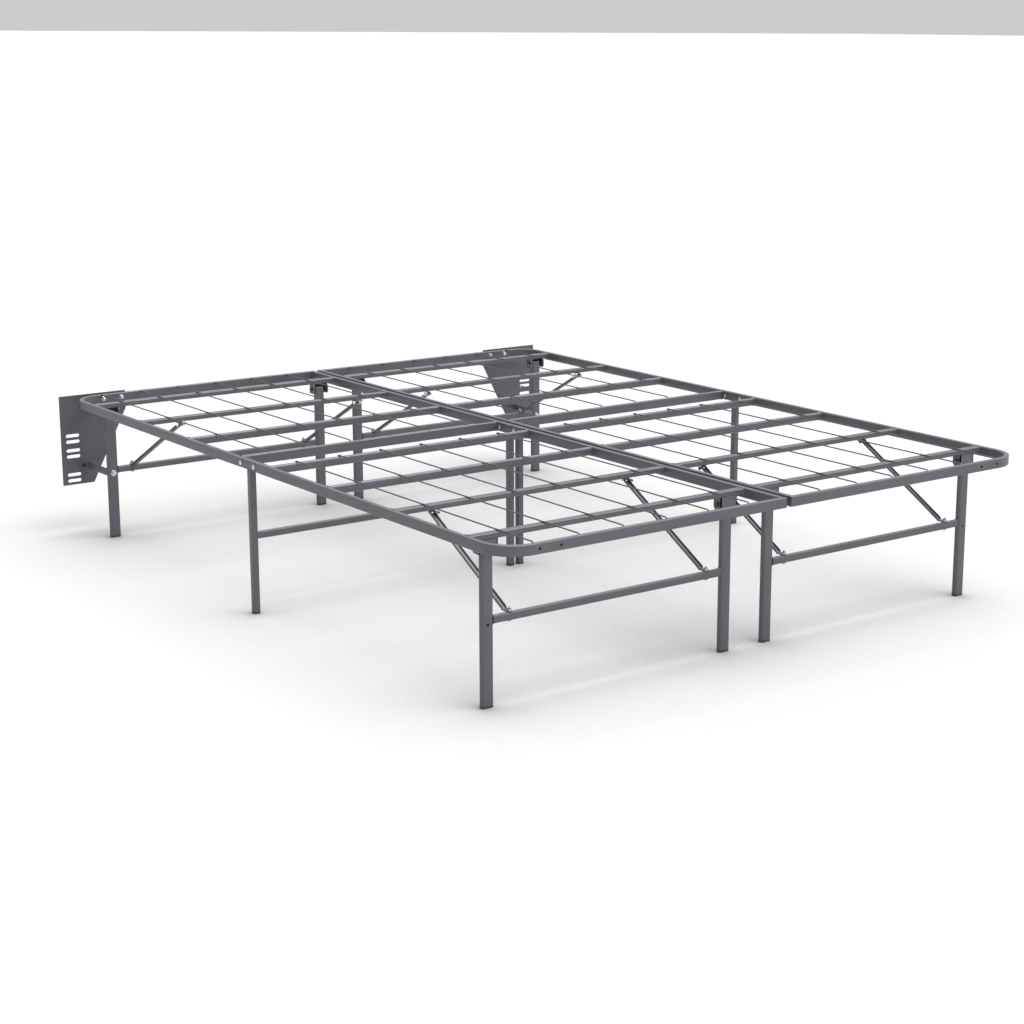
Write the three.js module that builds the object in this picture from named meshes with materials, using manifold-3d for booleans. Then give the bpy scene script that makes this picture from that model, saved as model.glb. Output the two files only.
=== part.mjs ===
// Folding steel platform bed frame, queen size, in millimetres, +Z up.
// Two halves side by side. Each is a head and a foot section, hinged at mid length over a middle leg frame.
// Origin: centre of the bounding box at floor level. +X to the right, +Y towards the head of the bed.
import * as THREE from "three";
import { mergeVertices } from "three/addons/utils/BufferGeometryUtils.js";
import Module from "manifold-3d";

const wasm = await Module();
wasm.setup();

// ---- driving dimensions ----
const BED_WIDTH = 1524;
const BED_LENGTH = 2032;
const RAIL_TOP = 371.5; // height of the rail tops above the floor
const HALF_GAP = 13; // space between the two halves
const RAIL = { wide: 12.5, high: 23, round: 2.2 };
const FLAT_SLAT = { wide: 20, high: 12.5, round: 2.5 };
const OVAL_SLAT = { wide: 13, high: 21, round: 6.4 };
const LEG = { wide: 29, deep: 15, round: 6 }; // end legs
const MIDDLE_LEG = { wide: 16, deep: 17, round: 2.5 };
const CROSSBAR = { high: 17, deep: 12, round: 3 };
const CORNER_RADIUS = 80; // outer face of the bent corners
const WIRE_RADIUS = 1.6;
const WIRE_COUNT = 6;
const WIRE_FIRST = 105; // first wire, from the bed's centre plane
const WIRE_PITCH = 114.2;
const CLEARANCE = 0.3; // between pieces that touch
const CORNER_STEPS = 9; // segments in a bent corner
const TUBE_STEPS = 2; // segments in a tube's rounded edge
const LEG_STEPS = 3; // segments in a leg's rounded edge
const KNUCKLE_SIDES = 24;
const PIN_SIDES = 12;
const HOLE_SIDES = 10;
const WIRE_SIDES = 6;

const SLAT_TOP = 370;
const FOLD_RAIL_DROP = 1; // the head section's rail at the fold sits this much below the side rails
const WIRE_HEIGHT = SLAT_TOP + CLEARANCE + WIRE_RADIUS; // centre of the wires
const WIRE_SINK = 0.6; // how far the welded slat rises into the wires
// A turned-down wire end: its length and drop, and its last stretch, which starts at a share of the drop.
const WIRE_TURN = { length: 5, drop: 4, last: 1.5, share: 0.3 };

// Fold hinge: two pivots, one in the head rail and one in the link that carries the middle leg.
const HEAD_PIVOT = 46; // Y of the pivot between head section and link
const FOOT_PIVOT = -17; // Y of the pivot between link and foot section
const PIVOT_HEIGHT = RAIL_TOP - RAIL.high / 2;
const KNUCKLE_RADIUS = RAIL.high / 2;
const KNUCKLE_GAP = 0.4;
const HINGE_PLATE = { thick: 2.5, radius: 11, gap: 1.5 };
const FOOT_HINGE = 40; // length of the foot rail's hinge piece past its pivot
const RIVET = { shank: 3.2, head: 6, dome: 2.4 };
// Profile of a rivet's dome: share of the head's radius and share of the dome still to rise.
const DOME_PROFILE = [[1, 1], [0.87, 0.4], [0.5, 0.08], [0, 0]];
const MIDDLE_LEG_Y = 9;

// Sections, measured along Y from the bed's centre towards the section's own end.
const HEAD = { name: "head", towards: 1, legs: 888, braceSlat: 603, wireSlat: 335, crossRail: 64.5 };
const FOOT = { name: "foot", towards: -1, legs: 879, braceSlat: 603, wireSlat: 332, crossRail: 68 };

// End leg frames and their braces.
const LEG_X = [63, 706]; // inner and outer leg, from the bed's centre plane
const LEG_PIVOT_HEIGHT = 342;
const LEG_CROSSBAR_HEIGHT = 186;
const MIDDLE_CROSSBAR_HEIGHT = 190;
const GLIDE_HEIGHT = 5;
const GLIDE_EDGE = 1; // step round the bottom of a glide
const LEG_BRACKET = {
  wide: 46, plate: 2.5, inward: 14, outward: 11, bottom: 329, chamfer: 5, lap: 1, bridge: 6,
};
const PIVOT_HOLE = 3.4;
const BRACE_X = [117, 648];
const BRACE_PIVOT = { inset: 13, height: 352 }; // inset from the brace slat's centre towards the fold
// ear: flanges beyond the pivot, web: start of the web from the pivot, foot: from the bend to the bolt.
const BRACE = { wide: 12, deep: 6, wall: 1.5, tab: 2.5, foot: 15, ear: 5, web: 8, lap: 4, hole: 2.6 };
const BRACE_LUG = { thick: 4, radius: 4.6, hole: 2.2, rise: 4, lap: 1, front: 6, back: 9 };
const CROSSBAR_LAP = 4; // how far a crossbar is sunk into a leg
const STRUT_HOLE = { height: 178, radius: 3.2 };

// Headboard brackets, bolted behind the head rail.
const BOARD_PLATE = { thick: 3, outer: 792, inner: 600, foot: 702, top: 375.5, step: 326, bottom: 129 };
const BOARD_SLOT = { from: 739, to: 778, high: 9 };
const BOARD_SLOT_HEIGHTS = [265, 248.5, 224, 207.5, 157, 140.5];
const END_RAIL_HOLES = [617, 670];
const END_RAIL_HOLE = 3.5;
const STRUT = { x: 718, thick: 3, high: 20, height: 181, flange: 24 };
const PAST = 1; // how far a cutting tool runs past a face

const HALF_WIDTH = BED_WIDTH / 2;
const HALF_LENGTH = BED_LENGTH / 2;
const INNER_EDGE = HALF_GAP / 2;
const INSIDE_OUTER_RAIL = HALF_WIDTH - RAIL.wide;
const INSIDE_INNER_RAIL = INNER_EDGE + RAIL.wide;
const INSIDE_END_RAIL = HALF_LENGTH - RAIL.wide;

const paint = { color: 0x6b6f77, roughness: 0.42, metalness: 0.35 };
const plastic = { color: 0x17181a, roughness: 0.6, metalness: 0 };

// ---- solids ----
function toSolid(geometry) {
  const plain = geometry.clone();
  plain.deleteAttribute("normal");
  plain.deleteAttribute("uv");
  const merged = mergeVertices(plain, 1e-4);
  const mesh = new wasm.Mesh({
    numProp: 3,
    vertProperties: new Float32Array(merged.attributes.position.array),
    triVerts: new Uint32Array(merged.index.array),
  });
  return new wasm.Manifold(mesh);
}

function toGeometry(solid) {
  const mesh = solid.getMesh();
  const geometry = new THREE.BufferGeometry();
  geometry.setAttribute("position", new THREE.BufferAttribute(new Float32Array(mesh.vertProperties), 3));
  geometry.setIndex(new THREE.BufferAttribute(new Uint32Array(mesh.triVerts), 1));
  return geometry;
}

function joined(...geometries) {
  return toGeometry(geometries.map(toSolid).reduce((whole, piece) => whole.add(piece)));
}

function cut(geometry, ...tools) {
  return toGeometry(tools.map(toSolid).reduce((whole, tool) => whole.subtract(tool), toSolid(geometry)));
}

// Reflects a solid made in the positive quadrant into the half and section it belongs to.
function placed(geometry, side, towards) {
  const copy = geometry.clone();
  copy.deleteAttribute("normal");
  copy.deleteAttribute("uv");
  const result = mergeVertices(copy, 1e-4);
  result.scale(side, towards, 1);
  if (side * towards < 0) {
    const index = result.index.array;
    for (let i = 0; i < index.length; i += 3) {
      [index[i], index[i + 1]] = [index[i + 1], index[i]];
    }
  }
  return result;
}

// ---- outlines ----
function roundedRectangle(width, height, radius, steps = TUBE_STEPS) {
  const shape = new THREE.Shape();
  const points = [];
  const corners = [
    [width / 2 - radius, height / 2 - radius, 0],
    [-width / 2 + radius, height / 2 - radius, 1],
    [-width / 2 + radius, -height / 2 + radius, 2],
    [width / 2 - radius, -height / 2 + radius, 3],
  ];
  for (const [x, y, quarter] of corners) {
    for (let i = 0; i <= steps; i++) {
      const angle = ((quarter + i / steps) * Math.PI) / 2;
      points.push(new THREE.Vector2(x + radius * Math.cos(angle), y + radius * Math.sin(angle)));
    }
  }
  shape.setFromPoints(points);
  return shape;
}

function arcPoints(x, y, radius, from, to, steps) {
  const points = [];
  for (let i = 0; i <= steps; i++) {
    const angle = from + ((to - from) * i) / steps;
    points.push(new THREE.Vector2(x + radius * Math.cos(angle), y + radius * Math.sin(angle)));
  }
  return points;
}

// A path given by its points and the direction at each, so that an extrusion has one section at each point.
class SectionPath extends THREE.Curve {
  constructor(points, directions) {
    super();
    this.points = points;
    this.directions = directions;
  }

  getPointAt(u) {
    return this.points[Math.round(u * (this.points.length - 1))].clone();
  }

  getTangentAt(u) {
    return this.directions[Math.round(u * (this.points.length - 1))].clone().normalize();
  }
}

function extrudedAlong(shape, points, directions) {
  const path = new SectionPath(points, directions);
  const steps = points.length - 1;
  return new THREE.ExtrudeGeometry(shape, { steps, extrudePath: path, bevelEnabled: false });
}

// Straight bars. Width and height are the section's sizes across the bar.
function barAlongX(fromX, toX, y, z, wideY, highZ, radius) {
  const shape = roundedRectangle(highZ, wideY, radius);
  const ends = [new THREE.Vector3(fromX, y, z), new THREE.Vector3(toX, y, z)];
  const direction = new THREE.Vector3(1, 0, 0);
  return extrudedAlong(shape, ends, [direction, direction]);
}

function barAlongY(x, fromY, toY, z, wideX, highZ, radius) {
  const shape = roundedRectangle(highZ, wideX, radius);
  const ends = [new THREE.Vector3(x, fromY, z), new THREE.Vector3(x, toY, z)];
  const direction = new THREE.Vector3(0, 1, 0);
  return extrudedAlong(shape, ends, [direction, direction]);
}

function post(x, y, bottom, top, wideX, deepY, radius, steps = TUBE_STEPS) {
  const shape = roundedRectangle(wideX, deepY, radius, steps);
  const geometry = new THREE.ExtrudeGeometry(shape, { depth: top - bottom, bevelEnabled: false });
  return geometry.translate(x, y, bottom);
}

// A plate outlined in the Y-Z plane, from one X to another.
function plateYZ(outline, fromX, toX) {
  const shape = new THREE.Shape(outline);
  const geometry = new THREE.ExtrudeGeometry(shape, { depth: toX - fromX, bevelEnabled: false });
  const turned = new THREE.Matrix4().makeBasis(
    new THREE.Vector3(0, 1, 0), new THREE.Vector3(0, 0, 1), new THREE.Vector3(1, 0, 0));
  return geometry.applyMatrix4(turned).translate(fromX, 0, 0);
}

// A plate outlined in the X-Z plane, from one Y to another, with holes.
function plateXZ(outline, holes, fromY, toY) {
  const shape = new THREE.Shape(outline);
  shape.holes = holes.map((points) => new THREE.Path(points));
  const geometry = new THREE.ExtrudeGeometry(shape, { depth: toY - fromY, bevelEnabled: false });
  const turned = new THREE.Matrix4().makeBasis(
    new THREE.Vector3(1, 0, 0), new THREE.Vector3(0, 0, 1), new THREE.Vector3(0, -1, 0));
  return geometry.applyMatrix4(turned).translate(0, toY, 0);
}

function rodAlongX(fromX, toX, y, z, radius, sides = PIN_SIDES) {
  const geometry = new THREE.CylinderGeometry(radius, radius, toX - fromX, sides);
  return geometry.rotateZ(Math.PI / 2).translate((fromX + toX) / 2, y, z);
}

function rodAlongY(x, fromY, toY, z, radius, sides = PIN_SIDES) {
  return new THREE.CylinderGeometry(radius, radius, toY - fromY, sides).translate(x, (fromY + toY) / 2, z);
}

function block(fromX, toX, fromY, toY, fromZ, toZ) {
  const geometry = new THREE.BoxGeometry(toX - fromX, toY - fromY, toZ - fromZ);
  return geometry.translate((fromX + toX) / 2, (fromY + toY) / 2, (fromZ + toZ) / 2);
}

// A rivet: shank along X with a low dome at its outer end. The dome faces the way of outward.
function rivet(innerX, faceX, y, outward) {
  const tip = Math.abs(faceX + outward * (CLEARANCE + RIVET.dome) - innerX);
  const profile = [
    new THREE.Vector2(0, 0),
    new THREE.Vector2(RIVET.shank, 0),
    new THREE.Vector2(RIVET.shank, tip - RIVET.dome),
    ...DOME_PROFILE.map(([radius, rise]) => new THREE.Vector2(RIVET.head * radius, tip - RIVET.dome * rise)),
  ];
  const geometry = new THREE.LatheGeometry(profile, PIN_SIDES);
  return geometry.rotateZ(outward > 0 ? -Math.PI / 2 : Math.PI / 2).translate(innerX, y, PIVOT_HEIGHT);
}

// ---- deck sections ----
// The outer rail: one tube along the side, round the corner and across the end.
function outerRail(sideStart) {
  const middleX = HALF_WIDTH - RAIL.wide / 2;
  const middleY = HALF_LENGTH - RAIL.wide / 2;
  const radius = CORNER_RADIUS - RAIL.wide / 2;
  const z = PIVOT_HEIGHT;
  const points = [new THREE.Vector3(middleX, sideStart, z)];
  const directions = [new THREE.Vector3(0, 1, 0)];
  for (let i = 0; i <= CORNER_STEPS; i++) {
    const angle = (i / CORNER_STEPS) * (Math.PI / 2);
    const x = middleX - radius + radius * Math.cos(angle);
    const y = middleY - radius + radius * Math.sin(angle);
    points.push(new THREE.Vector3(x, y, z));
    directions.push(new THREE.Vector3(-Math.sin(angle), Math.cos(angle), 0));
  }
  points.push(new THREE.Vector3(INNER_EDGE, middleY, z));
  directions.push(new THREE.Vector3(-1, 0, 0));
  const tube = extrudedAlong(roundedRectangle(RAIL.high, RAIL.wide, RAIL.round), points, directions);
  const holes = END_RAIL_HOLES.map((x) =>
    rodAlongY(x, INSIDE_END_RAIL - PAST, HALF_LENGTH + PAST, z, END_RAIL_HOLE, HOLE_SIDES));
  return cut(tube, ...holes);
}

function innerRail(sideStart) {
  const x = INNER_EDGE + RAIL.wide / 2;
  return barAlongY(x, sideStart, INSIDE_END_RAIL - CLEARANCE, PIVOT_HEIGHT, RAIL.wide, RAIL.high, RAIL.round);
}

// Head rails end in a knuckle, a round end about the pivot, with the rivet's hole.
function withKnuckle(rail, faces, y) {
  const knuckle = rodAlongX(faces[0], faces[1], y, PIVOT_HEIGHT, KNUCKLE_RADIUS, KNUCKLE_SIDES);
  const hole = rodAlongX(faces[0] - PAST, faces[1] + PAST, y, PIVOT_HEIGHT, RIVET.shank + CLEARANCE);
  return cut(joined(rail, knuckle), hole);
}

// The outline, in the Y-Z plane, of a rail end that follows its neighbour's knuckle over its upper half.
// It is square over its lower half, so that it can fold down, and it reaches as far as y = farEnd.
function socketOutline(pivotY, farEnd) {
  const reach = KNUCKLE_RADIUS + KNUCKLE_GAP;
  const low = PIVOT_HEIGHT - RAIL.high / 2;
  const high = PIVOT_HEIGHT + RAIL.high / 2;
  const rise = Math.asin(KNUCKLE_RADIUS / reach);
  const curve = arcPoints(pivotY, PIVOT_HEIGHT, reach, Math.PI, Math.PI - rise, 5);
  return [
    new THREE.Vector2(farEnd, high),
    new THREE.Vector2(farEnd, low),
    new THREE.Vector2(pivotY - reach, low),
    ...curve,
    new THREE.Vector2(curve[curve.length - 1].x, high),
  ].filter((point, i, all) => i === 0 || point.distanceTo(all[i - 1]) > 0.01);
}

function hingePlateOutline(pivotY, farEnd) {
  const half = HINGE_PLATE.radius;
  const round = arcPoints(pivotY, PIVOT_HEIGHT, half, -Math.PI / 2, Math.PI / 2, 8);
  return [
    ...round,
    new THREE.Vector2(farEnd, PIVOT_HEIGHT + half),
    new THREE.Vector2(farEnd, PIVOT_HEIGHT - half),
  ];
}

// The link between the two pivots, over the middle leg. Its plate laps the head rail's inner face.
// faces: X of the rail's two faces, plateFace: X of the plate's free face, all in the positive quadrant.
function hingeLink(faces, plateFace, rivetHead, outward) {
  const bar = plateYZ(socketOutline(HEAD_PIVOT, FOOT_PIVOT), faces[0], faces[1]);
  const knuckle = rodAlongX(faces[0], faces[1], FOOT_PIVOT, PIVOT_HEIGHT, KNUCKLE_RADIUS, KNUCKLE_SIDES);
  const near = outward > 0 ? faces[0] : faces[1];
  const plateEdge = near - outward * CLEARANCE;
  const plateEnd = FOOT_PIVOT + HINGE_PLATE.radius + HINGE_PLATE.gap;
  const plate = plateYZ(
    hingePlateOutline(HEAD_PIVOT, plateEnd), Math.min(plateEdge, plateFace), Math.max(plateEdge, plateFace));
  const seat = block(
    Math.min(near + outward, plateFace), Math.max(near + outward, plateFace),
    plateEnd, HEAD_PIVOT - KNUCKLE_RADIUS - HINGE_PLATE.gap,
    PIVOT_HEIGHT - HINGE_PLATE.radius, PIVOT_HEIGHT + HINGE_PLATE.radius);
  const pin = rivet(plateFace - outward * CLEARANCE, rivetHead, HEAD_PIVOT, outward);
  const hole = rodAlongX(faces[0] - PAST, faces[1] + PAST, FOOT_PIVOT, PIVOT_HEIGHT, RIVET.shank + CLEARANCE);
  return cut(joined(bar, knuckle, plate, seat, pin), hole);
}

// Foot rails end in a socket for the link's knuckle, with a hinge plate and rivet. Y is the real one here.
function withFootSocket(rail, faces, plateFace, rivetHead, outward) {
  const plateEnd = FOOT_PIVOT - FOOT_HINGE;
  const socket = plateYZ(socketOutline(FOOT_PIVOT, plateEnd), faces[0], faces[1]);
  const near = outward > 0 ? faces[0] : faces[1];
  const plateEdge = near - outward * CLEARANCE;
  const plate = plateYZ(
    hingePlateOutline(FOOT_PIVOT, plateEnd), Math.min(plateEdge, plateFace), Math.max(plateEdge, plateFace));
  const seat = block(
    Math.min(near + outward, plateFace), Math.max(near + outward, plateFace),
    plateEnd, FOOT_PIVOT - KNUCKLE_RADIUS - HINGE_PLATE.gap,
    PIVOT_HEIGHT - HINGE_PLATE.radius, PIVOT_HEIGHT + HINGE_PLATE.radius);
  const pin = rivet(plateFace - outward * CLEARANCE, rivetHead, FOOT_PIVOT, outward);
  return joined(rail, socket, plate, seat, pin);
}

function flatSlat(y) {
  const z = SLAT_TOP - FLAT_SLAT.high / 2;
  return barAlongX(
    INSIDE_INNER_RAIL + CLEARANCE, INSIDE_OUTER_RAIL - CLEARANCE, y, z,
    FLAT_SLAT.wide, FLAT_SLAT.high, FLAT_SLAT.round);
}

function ovalSlat(y, top) {
  const z = top - OVAL_SLAT.high / 2;
  return barAlongX(
    INSIDE_INNER_RAIL + CLEARANCE, INSIDE_OUTER_RAIL - CLEARANCE, y, z,
    OVAL_SLAT.wide, OVAL_SLAT.high, OVAL_SLAT.round);
}

// The slat over an end leg frame, with a channel bracket welded under it for each leg.
function legSlat(y) {
  const slatBottom = SLAT_TOP - FLAT_SLAT.high;
  const top = slatBottom + LEG_BRACKET.lap;
  const half = LEG_BRACKET.wide / 2;
  const inward = y - LEG_BRACKET.inward;
  const outward = y + LEG_BRACKET.outward;
  const underSlat = FLAT_SLAT.wide / 2 - FLAT_SLAT.round;
  const pieces = [flatSlat(y)];
  const holes = [];
  for (const x of LEG_X) {
    const ear = [
      new THREE.Vector2(inward + LEG_BRACKET.chamfer, LEG_BRACKET.bottom),
      new THREE.Vector2(outward, LEG_BRACKET.bottom),
      new THREE.Vector2(outward, slatBottom),
      new THREE.Vector2(y + underSlat, top),
      new THREE.Vector2(y - underSlat, top),
      new THREE.Vector2(inward, slatBottom - LEG_BRACKET.chamfer),
      new THREE.Vector2(inward, LEG_BRACKET.bottom + LEG_BRACKET.chamfer),
    ];
    pieces.push(plateYZ(ear, x - half, x - half + LEG_BRACKET.plate));
    pieces.push(plateYZ(ear, x + half - LEG_BRACKET.plate, x + half));
    pieces.push(block(
      x - half, x + half, outward - LEG_BRACKET.plate, outward,
      LEG_BRACKET.bottom, slatBottom + LEG_BRACKET.lap / 2));
    pieces.push(block(
      x - half, x + half, y - LEG_BRACKET.bridge, outward,
      slatBottom - LEG_BRACKET.lap, slatBottom + LEG_BRACKET.lap / 2));
    holes.push(rodAlongX(x - half - PAST, x + half + PAST, y, LEG_PIVOT_HEIGHT, PIVOT_HOLE, HOLE_SIDES));
  }
  return cut(joined(...pieces), ...holes);
}

// The slat that the braces hang from, with a lug for each brace.
function braceSlat(y) {
  const pivotY = y - BRACE_PIVOT.inset;
  const slatBottom = SLAT_TOP - FLAT_SLAT.high;
  const pieces = [flatSlat(y)];
  const holes = [];
  for (const x of BRACE_X) {
    const lug = [
      ...arcPoints(pivotY, BRACE_PIVOT.height, BRACE_LUG.radius, Math.PI, 1.75 * Math.PI, 4),
      new THREE.Vector2(y + BRACE_LUG.front, slatBottom + BRACE_LUG.lap),
      new THREE.Vector2(y - BRACE_LUG.back, slatBottom + BRACE_LUG.rise),
      new THREE.Vector2(pivotY - BRACE_LUG.radius, slatBottom + BRACE_LUG.lap),
    ];
    const from = x - BRACE_LUG.thick / 2;
    const to = x + BRACE_LUG.thick / 2;
    pieces.push(plateYZ(lug, from, to));
    holes.push(rodAlongX(from - PAST, to + PAST, pivotY, BRACE_PIVOT.height, BRACE_LUG.hole, HOLE_SIDES));
  }
  return cut(joined(...pieces), ...holes);
}

// The wires run over the slats and are welded to one of them. At a rail their ends turn down inside it.
function wireDeck(slatY, from, to, turnedDownAtStart) {
  const pieces = [ovalSlat(slatY, WIRE_HEIGHT - WIRE_RADIUS + WIRE_SINK)];
  const round = new THREE.Shape(arcPoints(0, 0, WIRE_RADIUS, 0, 2 * Math.PI, WIRE_SIDES).slice(1));
  const along = new THREE.Vector3(0, 1, 0);
  const slopeUp = new THREE.Vector3(0, 1, 1);
  const slopeDown = new THREE.Vector3(0, 1, -1);
  const { length, drop, last, share } = WIRE_TURN;
  const startTurn = turnedDownAtStart ? [[from, -drop, slopeUp], [from + last, -drop * share, slopeUp]] : [];
  for (let i = 0; i < WIRE_COUNT; i++) {
    const x = WIRE_FIRST + i * WIRE_PITCH;
    const stations = [
      ...startTurn,
      [from + (turnedDownAtStart ? length : 0), 0, along],
      [to - length, 0, along],
      [to - last, -drop * share, slopeDown],
      [to, -drop, slopeDown],
    ];
    const points = stations.map(([y, z]) => new THREE.Vector3(x, y, WIRE_HEIGHT + z));
    pieces.push(extrudedAlong(round, points, stations.map((station) => station[2])));
  }
  return joined(...pieces);
}

// ---- leg frames ----
// Two legs and a crossbar. The leg tops are round about the pivot.
function endLegFrame(y) {
  const pieces = [];
  const holes = [];
  for (const x of LEG_X) {
    pieces.push(post(
      x, y, GLIDE_HEIGHT + CLEARANCE, LEG_PIVOT_HEIGHT, LEG.wide, LEG.deep, LEG.round, LEG_STEPS));
    pieces.push(rodAlongX(
      x - LEG.wide / 2, x + LEG.wide / 2, y, LEG_PIVOT_HEIGHT, LEG.deep / 2, KNUCKLE_SIDES));
    holes.push(rodAlongX(x - LEG.wide, x + LEG.wide, y, LEG_PIVOT_HEIGHT, PIVOT_HOLE, HOLE_SIDES));
  }
  pieces.push(barAlongX(
    LEG_X[0] + LEG.wide / 2 - CROSSBAR_LAP, LEG_X[1] - LEG.wide / 2 + CROSSBAR_LAP, y, LEG_CROSSBAR_HEIGHT,
    CROSSBAR.deep, CROSSBAR.high, CROSSBAR.round));
  holes.push(rodAlongY(
    LEG_X[1], y - LEG.deep, y + LEG.deep, STRUT_HOLE.height, STRUT_HOLE.radius, HOLE_SIDES));
  return cut(joined(...pieces), ...holes);
}

function middleLegFrame() {
  const top = RAIL_TOP - RAIL.high - CLEARANCE;
  const inner = INNER_EDGE + MIDDLE_LEG.wide / 2;
  const outer = HALF_WIDTH - MIDDLE_LEG.wide / 2;
  const pieces = [inner, outer].map((x) => post(
    x, MIDDLE_LEG_Y, GLIDE_HEIGHT + CLEARANCE, top, MIDDLE_LEG.wide, MIDDLE_LEG.deep, MIDDLE_LEG.round));
  pieces.push(barAlongX(
    inner, outer, MIDDLE_LEG_Y, MIDDLE_CROSSBAR_HEIGHT, CROSSBAR.deep, CROSSBAR.high, CROSSBAR.round));
  return joined(...pieces);
}

function glide(x, y, wide, deep, radius) {
  const cap = post(x, y, GLIDE_EDGE, GLIDE_HEIGHT, wide, deep, radius);
  const sole = post(
    x, y, 0, 1.5 * GLIDE_EDGE, wide - 2 * GLIDE_EDGE, deep - 2 * GLIDE_EDGE, radius - GLIDE_EDGE);
  return joined(cap, sole);
}

// A channel brace from the slat's lug down to the crossbar, with a flat foot on the crossbar.
function brace(x, section) {
  const topY = section.braceSlat - BRACE_PIVOT.inset;
  const topZ = BRACE_PIVOT.height;
  const footZ = LEG_CROSSBAR_HEIGHT + CROSSBAR.high / 2 + CLEARANCE;
  const footY = section.legs - BRACE.foot;
  const slope = Math.atan2(footZ + BRACE.deep / 2 - topZ, footY - topY);
  const length = Math.hypot(footY - topY, footZ + BRACE.deep / 2 - topZ);
  const half = BRACE.deep / 2;
  const web = block(x - BRACE.wide / 2, x + BRACE.wide / 2, BRACE.web, length, -half, -half + BRACE.wall);
  const flanges = [-1, 1].map((side) => {
    const outerFace = (side * BRACE.wide) / 2;
    const innerFace = outerFace - side * BRACE.wall;
    return block(
      x + Math.min(outerFace, innerFace), x + Math.max(outerFace, innerFace),
      -BRACE.ear, length - BRACE.lap, -half, half);
  });
  const channel = joined(web, ...flanges);
  const pinHole = rodAlongX(x - BRACE.wide, x + BRACE.wide, 0, 0, BRACE_LUG.hole, HOLE_SIDES);
  const drilled = cut(channel, pinHole);
  drilled.rotateX(slope).translate(0, topY, topZ);
  const foot = block(
    x - BRACE.wide / 2, x + BRACE.wide / 2, footY - BRACE.lap, section.legs + BRACE.ear,
    footZ, footZ + BRACE.tab);
  const footHole = new THREE.CylinderGeometry(BRACE.hole, BRACE.hole, 4 * BRACE.tab, HOLE_SIDES)
    .rotateX(Math.PI / 2).translate(x, section.legs, footZ);
  return cut(joined(drilled, foot), footHole);
}

// ---- headboard brackets ----
function boardPlate() {
  const p = BOARD_PLATE;
  const outline = [
    new THREE.Vector2(p.inner, p.top),
    new THREE.Vector2(p.inner, p.step),
    new THREE.Vector2(p.foot, p.bottom),
    new THREE.Vector2(p.outer, p.bottom),
    new THREE.Vector2(p.outer, p.top),
  ];
  const slots = BOARD_SLOT_HEIGHTS.map((z) => {
    const r = BOARD_SLOT.high / 2;
    return [
      ...arcPoints(BOARD_SLOT.to - r, z, r, -Math.PI / 2, Math.PI / 2, 4),
      ...arcPoints(BOARD_SLOT.from + r, z, r, Math.PI / 2, 1.5 * Math.PI, 4),
    ];
  });
  const bolts = END_RAIL_HOLES.map((x) =>
    arcPoints(x, PIVOT_HEIGHT, END_RAIL_HOLE, 0, 2 * Math.PI, HOLE_SIDES).slice(1));
  const front = HALF_LENGTH + CLEARANCE;
  return plateXZ(outline, [...slots, ...bolts], front, front + p.thick);
}

// A bent strap from the plate to the back of the outer head leg.
function boardStrut() {
  const low = STRUT.height - STRUT.high / 2;
  const high = STRUT.height + STRUT.high / 2;
  const legBack = HEAD.legs + LEG.deep / 2 + CLEARANCE;
  const plateFront = HALF_LENGTH;
  const strap = block(STRUT.x, STRUT.x + STRUT.thick, legBack, plateFront, low, high);
  const middle = STRUT.x + STRUT.thick / 2;
  const legFlange = block(STRUT.x - STRUT.flange, middle, legBack, legBack + STRUT.thick, low, high);
  const plateFlange = block(middle, STRUT.x + STRUT.flange, plateFront - STRUT.thick, plateFront, low, high);
  const legHole = rodAlongY(
    LEG_X[1], legBack - PAST, legBack + STRUT.thick + PAST, STRUT_HOLE.height, STRUT_HOLE.radius, HOLE_SIDES);
  return cut(joined(strap, legFlange, plateFlange), legHole);
}

// ---- assembly ----
const bed = new THREE.Group();
const overhang = BOARD_PLATE.thick + CLEARANCE;
bed.position.y = -overhang / 2;

function add(name, geometry, side, towards, look = paint) {
  const mesh = new THREE.Mesh(placed(geometry, side, towards), new THREE.MeshStandardMaterial(look));
  mesh.name = name;
  bed.add(mesh);
}

const outerFaces = [INSIDE_OUTER_RAIL, HALF_WIDTH];
const innerFaces = [INNER_EDGE, INSIDE_INNER_RAIL];
const outerPlateFace = INSIDE_OUTER_RAIL - HINGE_PLATE.thick;
const innerPlateFace = INSIDE_INNER_RAIL + HINGE_PLATE.thick;
const wireEnd = INSIDE_END_RAIL - 1.5 * WIRE_RADIUS;
const headWireStart = HEAD.crossRail + RAIL.wide / 2 + WIRE_RADIUS;
const footWireStart = FOOT.crossRail - OVAL_SLAT.wide / 2 + WIRE_RADIUS;

const headOuterRail = withKnuckle(outerRail(HEAD_PIVOT), outerFaces, HEAD_PIVOT);
const headInnerRail = withKnuckle(innerRail(HEAD_PIVOT), innerFaces, HEAD_PIVOT);
const foldRail = barAlongX(
  INSIDE_INNER_RAIL + CLEARANCE, INSIDE_OUTER_RAIL - CLEARANCE, HEAD.crossRail, PIVOT_HEIGHT - FOLD_RAIL_DROP,
  RAIL.wide, RAIL.high, RAIL.round);
const outerLink = hingeLink(outerFaces, outerPlateFace, HALF_WIDTH, 1);
const innerLink = hingeLink(innerFaces, innerPlateFace, INNER_EDGE, -1);

// Foot rails are drawn at their real Y, because their sockets face the link.
const footOuterRail = withFootSocket(
  placed(outerRail(FOOT_HINGE - FOOT_PIVOT), 1, -1), outerFaces, outerPlateFace, HALF_WIDTH, 1);
const footInnerRail = withFootSocket(
  placed(innerRail(FOOT_HINGE - FOOT_PIVOT), 1, -1), innerFaces, innerPlateFace, INNER_EDGE, -1);

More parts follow.
